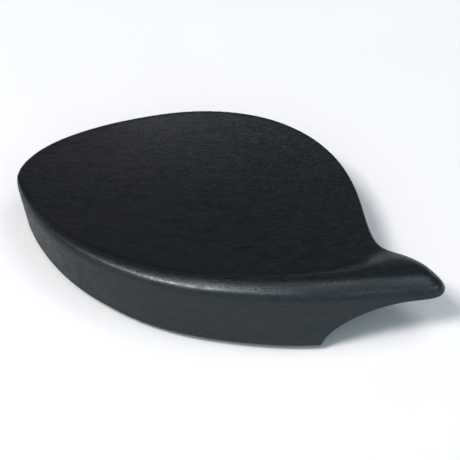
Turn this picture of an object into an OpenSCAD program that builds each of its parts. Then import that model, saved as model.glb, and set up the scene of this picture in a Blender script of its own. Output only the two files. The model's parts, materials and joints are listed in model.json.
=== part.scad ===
// Violin chin rest plate for a side-mounted clamp, carved from one block of ebony,
// with cork pads glued under its foot.
//
// The length runs along X, from the leaf tip at -X to the end of the arm at +X.
// The front wall, the side that the clamp goes on, faces -Y. +Z is up.
// The origin is the centre of the bounding box, at the height of the cork's lower face.

/* [Plate] */
// Overall length, from the leaf tip to the end of the arm
plate_l = 115; // [105:1:125]
// Depth of the chin bowl at its widest section, below the rim
bowl_depth = 7; // [4:0.5:8]
// Thickness of the wood under the bowl
plate_t = 5.5; // [4.5:0.5:7]
// Width of the flat foot along the front wall
foot_w = 20; // [18:1:24]
// Height of the front wall's edge at the leaf tip, above the foot
rim_tip_z = 14.2; // [13:0.2:16]
// Height of the front wall's edge where the arm starts, above the foot
rim_front_z = 18.8; // [17:0.2:21]
// Height of the far rim's edge, above the foot
rim_back_z = 15.2; // [14:0.2:17]
// Radius of the rounding along the far rim
rim_r = 1; // [0.6:0.1:1.4]

/* [Roll] */
// Distance of the roll's crest from the front wall
crest_in = 5; // [4:0.5:6]
// Radius of the roll's crest on the side of the wall
crest_r = 5; // [4:0.5:6]
// Radius of the roll's back where the arm starts
back_r = 14; // [12:0.5:16]
// Radius of the rounding between the wall and the roll
roll_edge_r = 1.3; // [0.8:0.1:2]

/* [Arm] */
// Height of the arm's front edge, above the foot
arm_front_z = 15.8; // [15:0.2:17]
// Height of the arm's back edge, above the foot
arm_back_z = 14.4; // [14:0.2:16]
// Radius of the rounding along the arm's edges
arm_edge_r = 1.6; // [1:0.1:2]
// Height of the arch under the arm, above the foot
arch_h = 12.5; // [10:0.5:12.5]
// Length of the arch, from the end of the foot to its highest line
arch_l = 23; // [20:1:26]

/* [Cork] */
// Thickness of the cork pads
cork_t = 2; // [1:0.5:3]
// Distance of the pads from the edge of the foot
cork_inset = 3; // [2:0.5:4]
// Width of the gaps between the pads, where the clamp's brackets lie
bracket_gap = 11; // [9:1:13]

/* [Screw holes] */
// Distance between the two brackets, from centre to centre
bracket_pitch = 28; // [26:1:30]
// Distance between the two screws of one bracket
screw_pitch = 7; // [6:0.5:8]
// Diameter of the pilot holes
pilot_d = 2; // [1.5:0.1:2.5]
// Depth of the pilot holes
pilot_depth = 8; // [6:1:9]

/* [Hidden] */

EBONY = [0.13, 0.14, 0.15];
CORK = [0.66, 0.48, 0.31];

// Number of cross-sections along the plate, and of steps across each
SECTIONS = 60;
STEPS = 30;
$fn = 48;

// The plan outline is two splines from the leaf tip to the end of the arm.
// Their control points are drawn for a length of 115 mm, with x = 0 at the leaf tip
// and y = 0 at the front of the foot.
DRAWN_L = 115;
FRONT_POINTS = [
    [0, 49], [0, 44], [8, 27], [22, 14.5], [42, 3.5], [66, -0.5],
    [82, -1], [94, 1.5], [108, 4.5], [115, 5], [115, 9]
];
BACK_POINTS = [
    [0, 49], [0, 53.5], [7, 63.5], [30, 71.5], [49.5, 76], [70.5, 73], [85, 62],
    [92, 50], [95, 37], [97.5, 21], [106.5, 20], [115, 10.5], [115, 9]
];
scale_xy = plate_l / DRAWN_L;

// Where the front wall's height, the arm and the foot change, along the drawn length
ROLL_FULL_X = 75;
RIM_FULL_X = 80;
ARM_FROM_X = 78;
ARM_FULL_X = 110;
// The foot ends at this section, where the arch starts
FOOT_END = 37;

// The widest section, which has the full bowl depth
WIDEST = 72;
// How far the wall is drawn in at the foot, at the leaf tip
LEAN = 1.6;
// How far the far rim is undercut
UNDERCUT = 2.5;
// Width of the slope between the foot and the hollow behind it
FOOT_SLOPE_W = 9;
// Least thickness of the wood over the arch, in the bowl and at the arm's edges
ARCH_ROOF_T = 4;
ARM_EDGE_T = 1.2;
// Steepness of the roll towards the wall and towards the bowl
SLOPE_OUT = 0.9;
SLOPE_IN = 1.6;
// The roll's back is tight near the leaf tip, and reaches its full radius at this length
BACK_R_TIP = 1;
BACK_FULL_X = 100;

// The point half-way between the two brackets, from the plate's middle
BRACKETS_AT = [-3.5, -23];

// ---- small helpers ----

function lerp(a, b, t) = a + (b - a) * t;
function clamp01(t) = max(0, min(1, t));
function smooth(a, b, x) = let (t = clamp01((x - a) / (b - a))) t * t * (3 - 2 * t);
function soft_max(a, b, k) = (a + b + sqrt((a - b) * (a - b) + k * k)) / 2;

// Basis function of a clamped uniform cubic spline, by the Cox-de Boor rule
function knot(i, last) = max(0, min(last, i - 3));
function ratio(top, bottom) = bottom > 0 ? top / bottom : 0;
function basis(i, degree, t, last) =
    degree == 0
    ? (t >= knot(i, last) && (t < knot(i + 1, last) || (t == last && knot(i, last) == last - 1
        && knot(i + 1, last) == last)) ? 1 : 0)
    : ratio(t - knot(i, last), knot(i + degree, last) - knot(i, last)) * basis(i, degree - 1, t, last)
        + ratio(knot(i + degree + 1, last) - t, knot(i + degree + 1, last) - knot(i + 1, last))
            * basis(i + 1, degree - 1, t, last);
function sum_points(list, i = 0) = i == len(list) ? [0, 0] : list[i] + sum_points(list, i + 1);
function spline_point(points, u) =
    let (last = len(points) - 3, t = u * last)
    scale_xy * sum_points([for (i = [0:len(points) - 1]) points[i] * basis(i, 3, t, last)]);

// ---- sections ----

// Sections lie closer together at both ends, where the outline turns, and steps lie closer
// together at both edges, a little more so at the roll
function section_u(i) =
    let (t = i / SECTIONS)
    lerp(t, (1 - cos(180 * t)) / 2, 0.35);
function step_v(j) = (1 - cos(180 * pow(j / STEPS, 1.15))) / 2;

front_edge = [for (i = [0:SECTIONS]) spline_point(FRONT_POINTS, section_u(i))];
back_edge = [for (i = [0:SECTIONS]) spline_point(BACK_POINTS, section_u(i))];
outline = concat(front_edge, [for (i = [SECTIONS - 1:-1:1]) back_edge[i]]);

// The plate's lowest and highest Y, and the size between them
low_y = min([for (p = outline) p.y]);
high_y = max([for (p = outline) p.y]);
plate_w = high_y - low_y;

function plan_point(i, v) = lerp(front_edge[i], back_edge[i], v);
function section_w(i) = norm(back_edge[i] - front_edge[i]);
function drawn_x(p) = p.x / scale_xy;

function to_segment(p, a, b) =
    let (ab = b - a, t = clamp01((p - a) * ab / max(ab * ab, 1e-9)))
    norm(p - a - ab * t);
function to_outline(p) =
    min([for (k = [0:len(outline) - 1]) to_segment(p, outline[k], outline[(k + 1) % len(outline)])]);

// ---- upper surface ----

// The wall's edge rises from the leaf tip to the arm, and the arm comes down again
function front_z(x) =
    let (left = clamp01(1 - x / RIM_FULL_X))
    lerp(rim_tip_z, rim_front_z, 1 - left * left)
        - (rim_front_z - arm_front_z) * smooth(ARM_FROM_X, ARM_FULL_X, x);
function back_z(x) =
    lerp(rim_tip_z, rim_back_z, smooth(0, 30, x))
        - (rim_back_z - arm_back_z) * smooth(ARM_FROM_X + 2, 98, x);

// A hyperbola: round at the crest, with a straight flank of the given slope
function flank_drop(e, slope, r) = slope * (sqrt(e * e + slope * slope * r * r) - slope * r);

function bowl_z(i, v) =
    let (w = section_w(i) / WIDEST / scale_xy)
    lerp(front_z(drawn_x(front_edge[i])), back_z(drawn_x(back_edge[i])), v)
        - bowl_depth * w * w * 4 * v * (1 - v);

function roll_z(i, d) =
    let (
        x = drawn_x(front_edge[i]),
        full = smooth(0, ROLL_FULL_X, x),
        crest = min(lerp(1.5, crest_in, full), 0.45 * section_w(i)),
        r_out = lerp(2, crest_r, full),
        r_in = max(BACK_R_TIP, back_r * pow(x / BACK_FULL_X, 4)),
        drop = d < crest ? flank_drop(d - crest, SLOPE_OUT, r_out) : flank_drop(d - crest, SLOPE_IN, r_in)
    )
    front_z(x) + flank_drop(crest, SLOPE_OUT, r_out) - drop;

// The roll melts into the bowl near the leaf tip, meets it in a crease along the middle,
// and the crease opens into a soft hollow behind the arm
function blend_r(i) =
    let (x = drawn_x(front_edge[i]))
    lerp(2.5, 0.6, smooth(35, 60, x)) * min(1, section_w(i) / 30) + 1.8 * smooth(80, 100, x);

// The soft maximum lifts both edges a little, so that lift is taken off again near them
function unrounded_z(i, v) =
    soft_max(bowl_z(i, v), roll_z(i, v * section_w(i)), blend_r(i));
function faired_z(i, v) =
    let (
        d = v * section_w(i),
        rest = (1 - v) * section_w(i),
        lift_front = unrounded_z(i, 0) - bowl_z(i, 0),
        lift_back = unrounded_z(i, 1) - bowl_z(i, 1)
    )
    unrounded_z(i, v) - lift_front * exp(-d / 4) - lift_back * exp(-rest / 4);

function edge_r(i, v) =
    let (arm = smooth(84, 98, drawn_x(front_edge[i])))
    lerp(lerp(roll_edge_r, rim_r, v), arm_edge_r, arm);
function edge_drop(dist, r) = dist >= r ? 0 : r - sqrt(r * r - (r - dist) * (r - dist));

function top_z(i, v) = faired_z(i, v) - edge_drop(to_outline(plan_point(i, v)), edge_r(i, v));

// ---- lower surface ----

// The wall is drawn in a little at the foot near the leaf tip, and the far rim is undercut
function foot_point(i, v) =
    let (
        along = (back_edge[i] - front_edge[i]) / max(section_w(i), 1e-6),
        cut = UNDERCUT * smooth(8, 30, section_w(i)),
        lean = LEAN * (1 - smooth(10, 45, drawn_x(front_edge[i])))
    )
    plan_point(i, v) + [lean, 0] - along * cut * v;

// A quarter of an ellipse, whose centre lies below the foot. It runs along the sections.
ARCH_SUNK = 2;
foot_end_x = foot_point(FOOT_END, 0).x;
arch_full_l = arch_l / sqrt(1 - pow(ARCH_SUNK / (arch_h + ARCH_SUNK), 2));
function arch_z(i) =
    let (t = clamp01((foot_end_x + arch_l - foot_point(i, 0).x) / arch_full_l))
    i <= FOOT_END ? 0 : (arch_h + ARCH_SUNK) * sqrt(1 - t * t) - ARCH_SUNK;

// Steps across the lower surface, with lines along both sides of the slope behind the foot
FOOT_STEPS = 5;
SLOPE_STEPS = 8;
function low_v(i, j) =
    let (
        foot_v = min(foot_w / section_w(i), 0.8),
        slope_v = min((foot_w + FOOT_SLOPE_W) / section_w(i), 0.9),
        hollow_steps = STEPS - FOOT_STEPS - SLOPE_STEPS
    )
    j <= FOOT_STEPS ? foot_v * j / FOOT_STEPS
    : j <= FOOT_STEPS + SLOPE_STEPS ? lerp(foot_v, slope_v, (j - FOOT_STEPS) / SLOPE_STEPS)
    : lerp(slope_v, 1, (j - FOOT_STEPS - SLOPE_STEPS) / hollow_steps);

// Flat under the foot, hollowed behind it, and arched under the arm
function bottom_z(i, v) =
    let (
        upper = top_z(i, v),
        hollow = smooth(foot_w, foot_w + FOOT_SLOPE_W, v * section_w(i)) * (upper - plate_t),
        roof_t = lerp(ARCH_ROOF_T, ARM_EDGE_T, smooth(84, 98, drawn_x(front_edge[i])))
    )
    max(0, hollow, min(arch_z(i), upper - roof_t));

// ---- the solid ----

function at_height(p, z) = [p.x, p.y, z];
RING = STEPS + 1;
function top_index(i, j) = (i - 1) * RING + j;
function low_index(i, j) = (SECTIONS - 1) * RING + (i - 1) * RING + j;
TIP_TOP = 2 * (SECTIONS - 1) * RING;
TIP_LOW = TIP_TOP + 1;
END_TOP = TIP_TOP + 2;
END_LOW = TIP_TOP + 3;

function plate_points() = concat(
    [for (i = [1:SECTIONS - 1], j = [0:STEPS]) at_height(plan_point(i, step_v(j)), top_z(i, step_v(j)))],
    [for (i = [1:SECTIONS - 1], j = [0:STEPS]) at_height(foot_point(i, low_v(i, j)), bottom_z(i, low_v(i, j)))],
    [for (i = [0, SECTIONS]) each [
        at_height(plan_point(i, 0), top_z(i, 0)),
        at_height(foot_point(i, 0), bottom_z(i, 0))
    ]]
);

// Two triangles for the patch a-b-c-d, whose corners run clockwise seen from outside
function patch(a, b, c, d) = [[a, b, c], [a, c, d]];

function plate_faces() = concat(
    [for (i = [1:SECTIONS - 2], j = [0:STEPS - 1]) each
        patch(top_index(i, j), top_index(i, j + 1), top_index(i + 1, j + 1), top_index(i + 1, j))],
    [for (i = [1:SECTIONS - 2], j = [0:STEPS - 1]) each
        patch(low_index(i, j), low_index(i + 1, j), low_index(i + 1, j + 1), low_index(i, j + 1))],
    [for (i = [1:SECTIONS - 2]) each
        patch(low_index(i, 0), top_index(i, 0), top_index(i + 1, 0), low_index(i + 1, 0))],
    [for (i = [1:SECTIONS - 2]) each
        patch(top_index(i, STEPS), low_index(i, STEPS), low_index(i + 1, STEPS), top_index(i + 1, STEPS))],
    [for (j = [0:STEPS - 1]) each [
        [TIP_TOP, top_index(1, j + 1), top_index(1, j)],
        [TIP_LOW, low_index(1, j), low_index(1, j + 1)],
        [END_TOP, top_index(SECTIONS - 1, j), top_index(SECTIONS - 1, j + 1)],
        [END_LOW, low_index(SECTIONS - 1, j + 1), low_index(SECTIONS - 1, j)]
    ]],
    patch(TIP_LOW, TIP_TOP, top_index(1, 0), low_index(1, 0)),
    patch(TIP_TOP, TIP_LOW, low_index(1, STEPS), top_index(1, STEPS)),
    patch(low_index(SECTIONS - 1, 0), top_index(SECTIONS - 1, 0), END_TOP, END_LOW),
    patch(top_index(SECTIONS - 1, STEPS), low_index(SECTIONS - 1, STEPS), END_LOW, END_TOP)
);

// Everything is drawn from the leaf tip and the top of the cork, then moved to the origin
module in_frame() {
    translate([-plate_l / 2, -(low_y + high_y) / 2, cork_t]) children();
}

// Two screws for each of the clamp's two brackets, up into the foot
module pilot_holes() {
    for (side_x = [-1, 1], side_y = [-1, 1])
        translate(at_height(BRACKETS_AT, cork_t - 1))
            translate([side_x * bracket_pitch / 2, side_y * screw_pitch / 2, 0])
                cylinder(h = pilot_depth + 1, d = pilot_d);
}

module plate() {
    color(EBONY) difference() {
        in_frame() polyhedron(points = plate_points(), faces = plate_faces());
        pilot_holes();
    }
}

// The foot's outline, and the strip of it that lies along the front wall
foot_outline = concat(
    [for (i = [0:SECTIONS]) foot_point(i, 0)],
    [for (i = [SECTIONS - 1:-1:1]) foot_point(i, 1)]
);
cork_w = foot_w - cork_inset / 2;
foot_strip = concat(
    [for (i = [1:FOOT_END]) foot_point(i, 0)],
    [for (i = [FOOT_END:-1:1]) foot_point(i, min(1, cork_w / section_w(i)))]
);

// A cork pad follows the foot between two cuts across the plate, and its corners are rounded
module cork_pad(x_from, x_to) {
    corner_r = 1.2;
    color(CORK) in_frame() translate([0, 0, -cork_t]) linear_extrude(cork_t)
        offset(r = corner_r) offset(r = -corner_r) intersection() {
            offset(r = -cork_inset) polygon(foot_outline);
            polygon(foot_strip);
            translate([x_from, low_y]) square([x_to - x_from, plate_w]);
        }
}

left_gap_x = plate_l / 2 + BRACKETS_AT.x - bracket_pitch / 2;
right_gap_x = left_gap_x + bracket_pitch;

module cork_pad_left() {
    cork_pad(0, left_gap_x - bracket_gap / 2);
}

module cork_pad_middle() {
    cork_pad(left_gap_x + bracket_gap / 2, right_gap_x - bracket_gap / 2);
}

module cork_pad_right() {
    cork_pad(right_gap_x + bracket_gap / 2, foot_end_x - cork_inset / 2);
}

plate();
cork_pad_left();
cork_pad_middle();
cork_pad_right();
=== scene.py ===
import json
import math

import bmesh
import bpy
import numpy as np
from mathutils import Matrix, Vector
from mathutils import noise as lump_noise


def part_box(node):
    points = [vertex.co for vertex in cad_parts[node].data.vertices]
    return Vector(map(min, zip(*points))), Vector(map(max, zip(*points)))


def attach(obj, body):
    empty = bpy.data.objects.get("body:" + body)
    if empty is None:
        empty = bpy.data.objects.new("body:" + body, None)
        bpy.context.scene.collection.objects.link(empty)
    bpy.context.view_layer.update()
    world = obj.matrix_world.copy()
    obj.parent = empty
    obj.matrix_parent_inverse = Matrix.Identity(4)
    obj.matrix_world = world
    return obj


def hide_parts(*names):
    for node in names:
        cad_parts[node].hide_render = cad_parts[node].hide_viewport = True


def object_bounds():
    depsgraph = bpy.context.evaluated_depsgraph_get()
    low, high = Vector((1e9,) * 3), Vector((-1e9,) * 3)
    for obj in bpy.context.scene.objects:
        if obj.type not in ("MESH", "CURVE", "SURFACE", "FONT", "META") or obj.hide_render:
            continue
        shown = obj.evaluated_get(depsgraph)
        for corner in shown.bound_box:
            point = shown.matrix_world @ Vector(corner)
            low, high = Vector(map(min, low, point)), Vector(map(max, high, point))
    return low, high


# A violin chin rest plate of carved ebony, on its cork pads, on a plain pale floor.
# Lengths in the plate's own shape are in millimetres, like its drawing. Everything placed in
# the scene is in metres. +X runs along the plate to the end of its arm, +Z is up.

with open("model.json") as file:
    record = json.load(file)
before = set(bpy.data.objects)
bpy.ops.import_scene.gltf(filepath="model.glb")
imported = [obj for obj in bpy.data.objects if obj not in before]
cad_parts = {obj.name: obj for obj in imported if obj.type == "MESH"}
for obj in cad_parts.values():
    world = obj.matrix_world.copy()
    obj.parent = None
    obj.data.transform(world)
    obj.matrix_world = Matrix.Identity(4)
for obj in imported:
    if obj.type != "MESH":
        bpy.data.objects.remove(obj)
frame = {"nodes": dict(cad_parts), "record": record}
CAD_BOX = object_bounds()
PLATE_LO, PLATE_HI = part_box("plate")
MM = 0.001

# ---- the plate's drawing ----

# Control points of the plan outline, from the leaf tip to the end of the arm
FRONT_POINTS = [
    (0, 49), (0, 44), (8, 27), (22, 14.5), (42, 3.5), (66, -0.5),
    (82, -1), (94, 1.5), (108, 4.5), (115, 5), (115, 9),
]
BACK_POINTS = [
    (0, 49), (0, 53.5), (7, 63.5), (30, 71.5), (49.5, 76), (70.5, 73), (85, 62),
    (92, 50), (95, 37), (97.5, 21), (106.5, 20), (115, 10.5), (115, 9),
]
DRAWN_L = 115
WIDEST = 72

BOWL_DEPTH = 7
PLATE_T = 5.5
FOOT_W = 20
FOOT_SLOPE_W = 9
RIM_TIP_Z = 14.2
RIM_FRONT_Z = 18.8
RIM_BACK_Z = 15.2
RIM_R = 1

CREST_IN_TIP = 1.5
CREST_IN = 5
CREST_SHARE = 0.45
CREST_R_TIP = 2
CREST_R = 5
ROLL_EDGE_R = 1.3
ROLL_FULL_X = 75
RIM_FULL_X = 80
SLOPE_OUT = 0.9
SLOPE_IN = 1.6
BACK_R_TIP = 1
BACK_R_ARM = 14
BACK_R_X = 100

BACK_FULL_X = 30
BACK_ARM_FULL_X = 98

# How softly the bowl and the roll blend: at the leaf tip, in the middle and on the arm
BLEND_TIP = 2.5
BLEND_MIDDLE = 0.6
BLEND_MIDDLE_X = (35, 60)
BLEND_FULL_W = 30
BLEND_ARM = 1.8
BLEND_ARM_X = (80, 100)
LIFT_FADE = 4

ARM_FROM_X = 78
ARM_FULL_X = 110
ARM_ROUND_X = (84, 98)
ARM_FRONT_Z = 15.8
ARM_BACK_Z = 14.4
ARM_EDGE_R = 1.6
ARM_EDGE_T = 1.2
ARCH_H = 12.5
ARCH_L = 23
ARCH_SUNK = 2
ARCH_ROOF_T = 4
FOOT_END_X = 82.83

LEAN = 1.6
LEAN_GONE_X = (10, 45)
UNDERCUT = 2.5
UNDERCUT_W = (8, 30)
LOW_EDGE_R = 0.45

# The clamp's four blind pilot holes
SCREWS = next(m for m in frame["record"]["mounts"] if m["name"] == "clamp_screws")
PILOT_DEPTH = 8 * MM
PILOT_MOUTH = 0.25 * MM
PILOT_SEGMENTS = 48

# The cork pads, and their skin: mesh size, rubbing of the edges, spacing and depth of the pits
CORK_PADS = ("cork_pad_left", "cork_pad_middle", "cork_pad_right")
CORK_MESH = 0.22 * MM
CORK_RUB = 0.5
CORK_RUBS = 6
CORK_PITS_PER_M = 900
CORK_PIT = 0.22 * MM
CORK_PIT_FALLOFF = 1.0
CORK_PIT_LACUNARITY = 2.0
CORK_PIT_OCTAVES = 3

# ---- mesh resolution ----

SECTIONS = 320
EDGE_STEPS = 8
INNER_STEPS = 120
LOW_STEPS = 90
WALL_STEPS = 10
SECTION_EASE = 0.35
EDGE_SHARE = 0.4
OUTLINE_CHUNK = 2000
WELD = 1e-7
SLIVER = 1e-8


def lerp(a, b, t):
    return a + (b - a) * t


def smooth(a, b, x):
    t = np.clip((x - a) / (b - a), 0, 1)
    return t * t * (3 - 2 * t)


def soft_max(a, b, k):
    return (a + b + np.sqrt((a - b) ** 2 + k * k)) / 2


def spline(points, u):
    """Points of a clamped uniform cubic spline at the values u, from 0 to 1."""
    points = np.array(points, float)
    last = len(points) - 3
    knots = np.clip(np.arange(len(points) + 4) - 3, 0, last)
    t = u * last
    span = np.minimum(np.floor(t), last - 1)
    rows = []
    for start, end in zip(knots, knots[1:]):
        rows.append(np.where((start == span) & (end == span + 1), 1.0, 0.0))
    for degree in (1, 2, 3):
        for i in range(len(knots) - 1 - degree):
            left = knots[i + degree] - knots[i]
            right = knots[i + degree + 1] - knots[i + 1]
            rise = (t - knots[i]) / left * rows[i] if left else 0
            fall = (knots[i + degree + 1] - t) / right * rows[i + 1] if right else 0
            rows[i] = rise + fall
    return sum(rows[i][:, None] * points[i] for i in range(len(points)))


def flank_drop(e, slope, r):
    """A hyperbola: round at the crest, with a straight flank."""
    return slope * (np.sqrt(e * e + (slope * r) ** 2) - slope * r)


def front_z(x):
    left = np.clip(1 - x / RIM_FULL_X, 0, 1)
    arm = smooth(ARM_FROM_X, ARM_FULL_X, x)
    return lerp(RIM_TIP_Z, RIM_FRONT_Z, 1 - left * left) - (RIM_FRONT_Z - ARM_FRONT_Z) * arm


def back_z(x):
    arm = smooth(ARM_FROM_X + 2, BACK_ARM_FULL_X, x)
    return lerp(RIM_TIP_Z, RIM_BACK_Z, smooth(0, BACK_FULL_X, x)) - (RIM_BACK_Z - ARM_BACK_Z) * arm


def edge_drop(dist, r):
    """How far a rounded edge of radius r lies below its corner, at a distance from the outline."""
    left = np.clip(r - dist, 0, r)
    return r - np.sqrt(np.maximum(r * r - left * left, 0))


def arch_z(x):
    full = ARCH_L / math.sqrt(1 - (ARCH_SUNK / (ARCH_H + ARCH_SUNK)) ** 2)
    t = np.clip((FOOT_END_X + ARCH_L - x) / full, 0, 1)
    return (ARCH_H + ARCH_SUNK) * np.sqrt(1 - t * t) - ARCH_SUNK


def to_outline(points, outline):
    """Distance of each plan point to the closed outline."""
    a = outline
    ab = np.roll(outline, -1, axis=0) - a
    size = np.maximum((ab * ab).sum(1), 1e-12)
    out = np.empty(len(points))
    for k in range(0, len(points), OUTLINE_CHUNK):
        ap = points[k:k + OUTLINE_CHUNK, None, :] - a[None]
        t = np.clip((ap * ab).sum(2) / size, 0, 1)
        out[k:k + OUTLINE_CHUNK] = np.sqrt(((ap - ab * t[..., None]) ** 2).sum(2).min(1))
    return out


class Plate:
    """The plate's surfaces, as grids of sections by steps across."""

    def __init__(self):
        t = np.linspace(0, 1, SECTIONS + 1)
        u = lerp(t, (1 - np.cos(math.pi * t)) / 2, SECTION_EASE)
        self.front = spline(FRONT_POINTS, u)
        self.back = spline(BACK_POINTS, u)
        self.across = self.back - self.front
        self.w = np.linalg.norm(self.across, axis=1)[:, None]
        self.fx = self.front[:, :1]
        self.bx = self.back[:, :1]
        self.arm = smooth(*ARM_ROUND_X, self.fx)
        self.outline = np.vstack([self.front, self.back[-2:0:-1]])
        along = self.across / np.maximum(self.w, 1e-6)
        cut = UNDERCUT * smooth(*UNDERCUT_W, self.w)
        lean = LEAN * (1 - smooth(*LEAN_GONE_X, self.fx))
        self.foot_front = self.front + np.hstack([lean, lean * 0])
        self.foot_back = self.back + np.hstack([lean, lean * 0]) - along * cut
        self.foot_outline = np.vstack([self.foot_front, self.foot_back[-2:0:-1]])

    def steps(self, r_front, r_back, inner):
        """Fractions across each section: close together round both edges, even between them."""
        arc = 1 - np.cos(np.linspace(0, math.pi / 2, EDGE_STEPS + 1))
        w = np.maximum(self.w, 1e-6)
        a = np.minimum(r_front / w, EDGE_SHARE)
        b = np.minimum(r_back / w, EDGE_SHARE)
        middle = lerp(a, 1 - b, np.linspace(0, 1, inner + 1)[None, 1:-1])
        return np.hstack([arc * a, middle, 1 - arc[::-1] * b])

    def bowl(self, v):
        rim = lerp(front_z(self.fx), back_z(self.bx), v)
        return rim - BOWL_DEPTH * (self.w / WIDEST) ** 2 * 4 * v * (1 - v)

    def roll(self, v):
        full = smooth(0, ROLL_FULL_X, self.fx)
        crest = np.minimum(lerp(CREST_IN_TIP, CREST_IN, full), CREST_SHARE * self.w)
        r_out = lerp(CREST_R_TIP, CREST_R, full)
        r_in = np.maximum(BACK_R_TIP, BACK_R_ARM * (self.fx / BACK_R_X) ** 4)
        e = v * self.w - crest
        slope = np.where(e < 0, SLOPE_OUT, SLOPE_IN)
        r = np.where(e < 0, r_out, r_in)
        return front_z(self.fx) + flank_drop(crest, SLOPE_OUT, r_out) - flank_drop(e, slope, r)

    def faired(self, v):
        """Bowl and roll together, with both edges at their own height."""
        k = lerp(BLEND_TIP, BLEND_MIDDLE, smooth(*BLEND_MIDDLE_X, self.fx))
        k = k * np.minimum(1, self.w / BLEND_FULL_W) + BLEND_ARM * smooth(*BLEND_ARM_X, self.fx)
        ends = np.hstack([self.w * 0, self.w * 0 + 1])
        lift = soft_max(self.bowl(ends), self.roll(ends), k) - self.bowl(ends)
        z = soft_max(self.bowl(v), self.roll(v), k)
        from_front = v * self.w
        from_back = (1 - v) * self.w
        z = z - lift[:, :1] * np.exp(-from_front / LIFT_FADE)
        return z - lift[:, 1:] * np.exp(-from_back / LIFT_FADE)

    def top(self):
        r_front = lerp(ROLL_EDGE_R, ARM_EDGE_R, self.arm)
        r_back = lerp(RIM_R, ARM_EDGE_R, self.arm)
        v = self.steps(r_front, r_back, INNER_STEPS)
        xy = self.front[:, None] + self.across[:, None] * v[..., None]
        dist = to_outline(xy.reshape(-1, 2), self.outline).reshape(v.shape)
        z = self.faired(v) - edge_drop(dist, lerp(r_front, r_back, v))
        return np.dstack([xy, z])

    def low(self):
        v = self.steps(LOW_EDGE_R, LOW_EDGE_R, LOW_STEPS)
        xy = self.foot_front[:, None] + (self.foot_back - self.foot_front)[:, None] * v[..., None]
        dist = to_outline(xy.reshape(-1, 2), self.foot_outline).reshape(v.shape)
        upper = self.faired(v)
        hollow = smooth(FOOT_W, FOOT_W + FOOT_SLOPE_W, v * self.w) * (upper - PLATE_T)
        roof = upper - lerp(ARCH_ROOF_T, ARM_EDGE_T, self.arm)
        arch = np.where(self.foot_front[:, :1] > FOOT_END_X, arch_z(self.foot_front[:, :1]), 0)
        z = np.maximum(np.maximum(0, hollow), np.minimum(arch, roof))
        return np.dstack([xy, z + edge_drop(dist, np.full_like(dist, LOW_EDGE_R))])


def grid_faces(bm, rows, flip=False):
    for a, b in zip(rows, rows[1:]):
        for j in range(len(a) - 1):
            quad = (a[j], a[j + 1], b[j + 1], b[j])
            bm.faces.new(quad[::-1] if flip else quad)


def plate_mesh():
    """The closed skin: upper surface, lower surface and the wall between their edges."""
    plate = Plate()
    top = plate.top()
    low = plate.low()
    scale = (PLATE_HI.x - PLATE_LO.x) / DRAWN_L
    middle_y = (plate.outline[:, 1].min() + plate.outline[:, 1].max()) / 2
    shift = Vector(((PLATE_LO.x + PLATE_HI.x) / 2, (PLATE_LO.y + PLATE_HI.y) / 2, PLATE_LO.z))

    def place(p):
        return Vector(((p[0] - DRAWN_L / 2) * scale, (p[1] - middle_y) * scale, p[2] * MM)) + shift

    bm = bmesh.new()
    top_rows = [[bm.verts.new(place(p)) for p in row] for row in top]
    low_rows = [[bm.verts.new(place(p)) for p in row] for row in low]
    grid_faces(bm, top_rows, flip=True)
    grid_faces(bm, low_rows)
    for side, flip in ((0, True), (-1, False)):
        columns = []
        for i in range(SECTIONS + 1):
            a = top_rows[i][side]
            b = low_rows[i][side]
            inner = [bm.verts.new(a.co.lerp(b.co, k / WALL_STEPS)) for k in range(1, WALL_STEPS)]
            columns.append([a, *inner, b])
        grid_faces(bm, columns, flip)
    bmesh.ops.remove_doubles(bm, verts=bm.verts, dist=WELD)
    bmesh.ops.dissolve_degenerate(bm, edges=bm.edges, dist=SLIVER)
    bmesh.ops.recalc_face_normals(bm, faces=bm.faces)
    mesh = bpy.data.meshes.new("carved_plate")
    bm.to_mesh(mesh)
    bm.free()
    return mesh


def new_object(name, mesh):
    obj = bpy.data.objects.new(name, mesh)
    bpy.context.scene.collection.objects.link(obj)
    return obj


def pilot_cutter(bm, at, r):
    """One blind hole as a solid: a flared mouth, a straight bore and a conical end."""
    rings = []
    for radius, z in ((r + 2 * PILOT_MOUTH, -PILOT_MOUTH), (r, PILOT_MOUTH), (r, PILOT_DEPTH)):
        ring = bmesh.ops.create_circle(bm, radius=radius, segments=PILOT_SEGMENTS)["verts"]
        bmesh.ops.translate(bm, verts=ring, vec=at + Vector((0, 0, z)))
        rings.append(ring)
    tip = bm.verts.new(at + Vector((0, 0, PILOT_DEPTH + r / 2)))
    for a, b in zip(rings, rings[1:]):
        for k in range(len(a)):
            bm.faces.new((a[k], a[k - 1], b[k - 1], b[k]))
    bm.faces.new(rings[0])
    for k in range(len(rings[-1])):
        bm.faces.new((rings[-1][k], rings[-1][k - 1], tip))


def drill(obj):
    """Cuts the clamp's pilot holes into the foot."""
    centre = Vector(SCREWS["pos_m"])
    dims = SCREWS["dims"]
    bm = bmesh.new()
    for side_x in (-0.5, 0.5):
        for side_y in (-0.5, 0.5):
            step = Vector((side_x * dims["spacing_x_mm"], side_y * dims["spacing_y_mm"], 0)) * MM
            pilot_cutter(bm, centre + step, dims["hole_r_mm"] * MM)
    bmesh.ops.recalc_face_normals(bm, faces=bm.faces)
    cutter_mesh = bpy.data.meshes.new("pilot_cutter")
    bm.to_mesh(cutter_mesh)
    bm.free()
    cutter = new_object("pilot_cutter", cutter_mesh)
    cut = obj.modifiers.new("drill", "BOOLEAN")
    cut.operation = "DIFFERENCE"
    cut.object = cutter
    cut.solver = "EXACT"
    apply_modifiers(obj)
    bpy.data.objects.remove(cutter)
    bpy.data.meshes.remove(cutter_mesh)


def apply_modifiers(obj):
    graph = bpy.context.evaluated_depsgraph_get()
    done = bpy.data.meshes.new_from_object(obj.evaluated_get(graph))
    old = obj.data
    obj.modifiers.clear()
    obj.data = done
    bpy.data.meshes.remove(old)


# ---- materials ----

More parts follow.
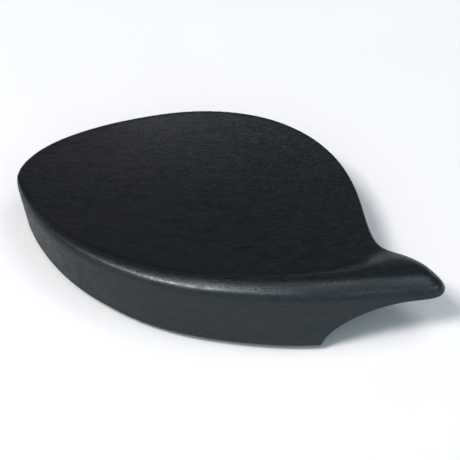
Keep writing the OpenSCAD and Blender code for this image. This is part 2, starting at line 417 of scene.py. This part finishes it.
# Ebony: how far each pattern is squeezed, per millimetre along the grain, across it and down
GRAIN_TURN = math.radians(4)
STREAKS = (0.11, 1.0, 1.0)
FLECKS = (0.30, 2.2, 2.2)
MOTTLE = (0.22, 0.38, 0.38)
PATCHES = (0.018, 0.035, 0.035)
PORES = (0.22, 4.2, 4.2)
SPECKLE = (1.3, 1.8, 1.8)

BLACK = (0.0030, 0.0054, 0.0070)
BROWN = (0.0200, 0.0140, 0.0165)
GREEN_GREY = (0.0100, 0.0155, 0.0125)
BLUE_GREY = (0.0105, 0.0145, 0.0170)
PORE_BLACK = (0.003, 0.003, 0.004)
BROWN_FROM_X = 20.0
BROWN_FULL_X = -40.0
BROWN_LEAST = 0.25

PORE_ROUGHNESS = (0.6, 0.6, 0.6)
PORE_DENT = 0.05 * MM
SPECKLE_DENT = 0.06 * MM
OIL_SPECULAR = 0.30
OIL_TINT = (0.74, 0.93, 1.0, 1)

# Cork: granules per millimetre, colours and the depth of its pits
GRANULES_PER_MM = 0.75
GRANULE_TONES = [(0.0, (0.20, 0.10, 0.045)), (0.35, (0.36, 0.20, 0.095)), (1.0, (0.52, 0.33, 0.17))]
BARK = (0.10, 0.045, 0.02)
GRIT = (0.16, 0.08, 0.035)
GRIT_DENT = 0.15 * MM

FLOOR_TONES = [(0.3, (0.74, 0.79, 0.81)), (0.7, (0.76, 0.81, 0.83))]
FLOOR_MOTTLE = (0.02, 0.02, 0.02)
FLOOR_ROUGHNESS = 0.9
FLOOR_SPECULAR = 0.1


def new_material(name):
    material = bpy.data.materials.new(name)
    material.use_nodes = True
    material.node_tree.nodes.clear()
    return material, material.node_tree


def add(tree, kind, settings=None, **inputs):
    """Adds a node. An input is a value or another node's output socket."""
    node = tree.nodes.new("ShaderNode" + kind)
    for key, value in (settings or {}).items():
        setattr(node, key, value)
    for key, value in inputs.items():
        socket = node.inputs[int(key[1:])] if key[0] == "_" else node.inputs[key.replace("_", " ")]
        if isinstance(value, bpy.types.NodeSocket):
            tree.links.new(value, socket)
        else:
            socket.default_value = value
    return node


def ramp(tree, source, stops):
    """A colour ramp. A stop's value is a colour, or one number for a grey."""
    node = add(tree, "ValToRGB", Fac=source)
    while len(node.color_ramp.elements) < len(stops):
        node.color_ramp.elements.new(0.5)
    for element, (position, value) in zip(node.color_ramp.elements, stops):
        element.position = position
        element.color = (*value, 1) if isinstance(value, tuple) else (value, value, value, 1)
    return node.outputs["Color"]


def stretched(tree, squeeze, turn=0.0, move=(0, 0, 0)):
    """Object coordinates in millimetres, squeezed along each axis."""
    place = add(tree, "TexCoord").outputs["Object"]
    mapping = add(tree, "Mapping", Vector=place, Scale=tuple(s / MM for s in squeeze))
    mapping.inputs["Rotation"].default_value = (0, 0, turn)
    mapping.inputs["Location"].default_value = move
    return mapping.outputs["Vector"]


def noise(tree, vector, detail=4.0, rough=0.5, distortion=0.0, scale=1.0):
    node = add(tree, "TexNoise", Vector=vector, Scale=scale, Detail=detail, Roughness=rough,
               Distortion=distortion)
    return node.outputs["Fac"]


def grain(tree, squeeze, move=(0, 0, 0), **settings):
    """Noise drawn out along the grain."""
    return noise(tree, stretched(tree, squeeze, GRAIN_TURN, move), **settings)


def mix(tree, a, b, fac):
    """Blends two colours. Each is a colour or another node's output socket."""
    node = add(tree, "Mix", {"data_type": "RGBA"}, _0=fac)
    for socket, value in ((node.inputs[6], a), (node.inputs[7], b)):
        if isinstance(value, bpy.types.NodeSocket):
            tree.links.new(value, socket)
        else:
            socket.default_value = (*value, 1)
    return node.outputs[2]


def brown_mask(tree, patch):
    """Where the wood is browner: in patches, and more so towards the leaf tip."""
    place = add(tree, "SeparateXYZ", Vector=stretched(tree, (1, 1, 1)))
    to_leaf = add(tree, "MapRange", _0=place.outputs["X"], _1=BROWN_FROM_X, _2=BROWN_FULL_X,
                  _3=BROWN_LEAST, _4=1.0)
    leaf = add(tree, "Math", {"operation": "MULTIPLY"}, _0=patch, _1=to_leaf.outputs[0])
    return ramp(tree, leaf.outputs[0], [(0.2, 0.08), (0.55, 0.9)])


def ebony_colour(tree, mottle, pore_mask, wall_mask):
    """Black wood, mottled grey, with grey flecks and short brown streaks on its upper side."""
    streaks = grain(tree, STREAKS, detail=6.0, rough=0.62, distortion=0.6)
    flecks = grain(tree, FLECKS, (3, 5, 1), detail=5.0, rough=0.65)
    patch = noise(tree, stretched(tree, PATCHES, move=(0.4, 0.1, 0)), detail=3.0)
    grey = mix(tree, GREEN_GREY, BLUE_GREY, ramp(tree, patch, [(0.40, 0.0), (0.58, 1.0)]))
    colour = mix(tree, BLACK, grey, ramp(tree, mottle, [(0.38, 0.0), (0.72, 0.65)]))
    colour = mix(tree, colour, grey, ramp(tree, flecks, [(0.46, 0.0), (0.66, 1.0)]))
    browned = mix(tree, colour, BROWN, ramp(tree, streaks, [(0.36, 0.0), (0.68, 1.0)]))
    amount = mix(tree, brown_mask(tree, patch), (0, 0, 0), wall_mask)
    colour = mix(tree, colour, browned, amount)
    return mix(tree, colour, PORE_BLACK, pore_mask)


def ebony():
    """Oiled ebony: rubbed to a speckled shine on top, duller on the walls and in its pores."""
    material, tree = new_material("ebony_oiled")
    mottle = grain(tree, MOTTLE, (7, 1, 2), detail=5.0, rough=0.65, distortion=0.8)
    pores = grain(tree, PORES, (9, 2, 4), detail=3.0, rough=0.55)
    speckle = noise(tree, stretched(tree, SPECKLE), detail=5.0, rough=0.7)
    pore_mask = ramp(tree, pores, [(0.30, 1.0), (0.40, 0.0)])
    facing = add(tree, "SeparateXYZ", Vector=add(tree, "TexCoord").outputs["Normal"])
    wall_mask = ramp(tree, facing.outputs["Z"], [(0.15, 1.0), (0.55, 0.0)])

    shine = ramp(tree, speckle, [(0.36, 0.24), (0.62, 0.40)])
    wall_shine = ramp(tree, mottle, [(0.35, 0.42), (0.65, 0.64)])
    shine = mix(tree, shine, wall_shine, wall_mask)
    shine = mix(tree, shine, PORE_ROUGHNESS, pore_mask)
    dents = add(tree, "Bump", {"invert": True}, Height=pore_mask, Strength=0.35, Distance=PORE_DENT)
    relief = add(tree, "Bump", Height=speckle, Strength=1.0, Distance=SPECKLE_DENT,
                 Normal=dents.outputs["Normal"])
    colour = ebony_colour(tree, mottle, pore_mask, wall_mask)
    shader = add(tree, "BsdfPrincipled", Base_Color=colour, Roughness=shine,
                 Normal=relief.outputs["Normal"])
    shader.inputs["Specular IOR Level"].default_value = OIL_SPECULAR
    shader.inputs["Specular Tint"].default_value = OIL_TINT
    add(tree, "OutputMaterial", Surface=shader.outputs["BSDF"])
    return material


def cork():
    """Pressed cork: tan granules with darker bark between them, and a gritty skin."""
    material, tree = new_material("pressed_cork")
    place = stretched(tree, (1, 1, 1))
    wobble = add(tree, "TexNoise", Vector=place, Scale=0.9, Detail=2.0).outputs["Color"]
    warped = add(tree, "VectorMath", {"operation": "ADD"}, _0=place, _1=wobble).outputs["Vector"]
    cells = add(tree, "TexVoronoi", Vector=warped, Scale=GRANULES_PER_MM)
    edges = add(tree, "TexVoronoi", {"feature": "DISTANCE_TO_EDGE"}, Vector=warped,
                Scale=GRANULES_PER_MM)
    tone = add(tree, "SeparateColor", Color=cells.outputs["Color"])
    seams = ramp(tree, edges.outputs["Distance"], [(0.0, 1.0), (0.09, 0.0)])
    grit = noise(tree, place, rough=0.7, scale=5.0)

    colour = ramp(tree, tone.outputs["Red"], GRANULE_TONES)
    colour = mix(tree, colour, BARK, seams)
    colour = mix(tree, colour, GRIT, ramp(tree, grit, [(0.55, 0.0), (0.75, 0.7)]))
    dents = add(tree, "Bump", Height=grit, Strength=0.6, Distance=GRIT_DENT)
    rough = ramp(tree, grit, [(0.2, 0.82), (0.8, 0.95)])
    shader = add(tree, "BsdfPrincipled", Base_Color=colour, Roughness=rough,
                 Normal=dents.outputs["Normal"])
    add(tree, "OutputMaterial", Surface=shader.outputs["BSDF"])
    return material


def pale_floor():
    material, tree = new_material("pale_floor")
    colour = ramp(tree, noise(tree, stretched(tree, FLOOR_MOTTLE)), FLOOR_TONES)
    shader = add(tree, "BsdfPrincipled", Base_Color=colour, Roughness=FLOOR_ROUGHNESS)
    shader.inputs["Specular IOR Level"].default_value = FLOOR_SPECULAR
    add(tree, "OutputMaterial", Surface=shader.outputs["BSDF"])
    return material


# ---- the pieces ----

def dress(obj, material):
    """Gives a piece its only material, and smooth shading."""
    obj.data.materials.clear()
    obj.data.materials.append(material)
    for polygon in obj.data.polygons:
        polygon.use_smooth = True


def make_plate():
    obj = new_object("carved_plate", plate_mesh())
    drill(obj)
    dress(obj, ebony())
    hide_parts("plate")
    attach(obj, "root")


def pad_mesh(node):
    """The drawn pad with its edges rubbed round and its skin lightly pitted."""
    drawn = node.data.copy()
    drawn.transform(node.matrix_world)
    obj = new_object("pad_skin", drawn)
    skin = obj.modifiers.new("skin", "REMESH")
    skin.mode = "VOXEL"
    skin.voxel_size = CORK_MESH
    rub = obj.modifiers.new("rub", "SMOOTH")
    rub.factor = CORK_RUB
    rub.iterations = CORK_RUBS
    apply_modifiers(obj)
    mesh = obj.data
    bpy.data.objects.remove(obj)
    normals = [vertex.normal.copy() for vertex in mesh.vertices]
    for vertex, normal in zip(mesh.vertices, normals):
        lump = lump_noise.fractal(vertex.co * CORK_PITS_PER_M, CORK_PIT_FALLOFF,
                                  CORK_PIT_LACUNARITY, CORK_PIT_OCTAVES)
        vertex.co -= normal * CORK_PIT * max(0, lump)
    return mesh


def make_cork():
    material = cork()
    for name in CORK_PADS:
        pad = new_object("pitted_" + name, pad_mesh(frame["nodes"][name]))
        dress(pad, material)
        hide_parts(name)
        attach(pad, "root")


# ---- the stage ----

CAMERA_ELEVATION = math.radians(46.3)
CAMERA_DISTANCE = 0.5
CAMERA_LENS = 144.2
CAMERA_AIM = Vector((0.0013, -0.0047, 0.0118))
CAMERA_NEAR = 0.01
CAMERA_FAR = 20

FLOOR_HALF = 3.0
FLOOR_GAP = 0.1 * MM

# Each light: name, place, width, power, colour, and whether only gloss shows it
LIGHTS = [
    ("key", (-0.42, -0.36, 0.94), 0.28, 10, (1.0, 0.88, 0.84), False),
    ("ceiling", (0.34, 0.06, 1.0), 0.45, 3.0, (1.0, 0.90, 0.93), False),
    ("glint", (-0.53, -0.36, 0.86), 0.12, 15, (1.0, 0.84, 0.80), True),
    ("spark", (0.70, -0.44, 0.56), 0.10, 2.0, (0.9, 0.95, 1.0), True),
]
LIGHT_AIM = Vector((0, 0, 0.01))

# The room around the stage, from its bright front to its dim back
ROOM_COLOUR = (0.86, 0.98, 1.06, 1)
ROOM_FRONT = 1.0
ROOM_BACK = 0.1
ROOM_FRONT_Y = -0.7
ROOM_BACK_Y = 0.25


def make_camera():
    data = bpy.data.cameras.new("camera")
    data.lens = CAMERA_LENS
    data.clip_start = CAMERA_NEAR
    data.clip_end = CAMERA_FAR
    cam = new_object("camera", data)
    back = Vector((0, -math.cos(CAMERA_ELEVATION), math.sin(CAMERA_ELEVATION)))
    cam.location = CAMERA_AIM + back * CAMERA_DISTANCE
    cam.rotation_euler = (-back).to_track_quat("-Z", "Y").to_euler()
    bpy.context.scene.camera = cam


def make_floor():
    z = CAD_BOX[0].z - FLOOR_GAP
    corners = [(x * FLOOR_HALF, y * FLOOR_HALF, z) for x, y in ((-1, -1), (1, -1), (1, 1), (-1, 1))]
    mesh = bpy.data.meshes.new("floor")
    mesh.from_pydata(corners, [], [(0, 1, 2, 3)])
    floor = new_object("floor", mesh)
    floor.data.materials.append(pale_floor())


def make_world():
    """A dim room, brighter towards the front."""
    world = bpy.data.worlds.new("studio")
    world.use_nodes = True
    tree = world.node_tree
    direction = add(tree, "SeparateXYZ", Vector=add(tree, "TexCoord").outputs["Generated"])
    strength = add(tree, "MapRange", _0=direction.outputs["Y"], _1=ROOM_FRONT_Y, _2=ROOM_BACK_Y,
                   _3=ROOM_FRONT, _4=ROOM_BACK)
    background = tree.nodes["Background"]
    background.inputs["Color"].default_value = ROOM_COLOUR
    tree.links.new(strength.outputs[0], background.inputs["Strength"])
    bpy.context.scene.world = world


def make_lights():
    for name, at, width, power, colour, gloss_only in LIGHTS:
        data = bpy.data.lights.new(name, "AREA")
        data.shape = "RECTANGLE"
        data.size = width
        data.size_y = width
        data.energy = power
        data.color = colour
        lamp = new_object(name, data)
        lamp.location = at
        lamp.rotation_euler = (LIGHT_AIM - Vector(at)).to_track_quat("-Z", "Y").to_euler()
        lamp.visible_diffuse = not gloss_only
        lamp.visible_camera = False
    bpy.context.scene.view_settings.view_transform = "Standard"


make_camera()
make_floor()
make_world()
make_lights()
make_plate()
make_cork()
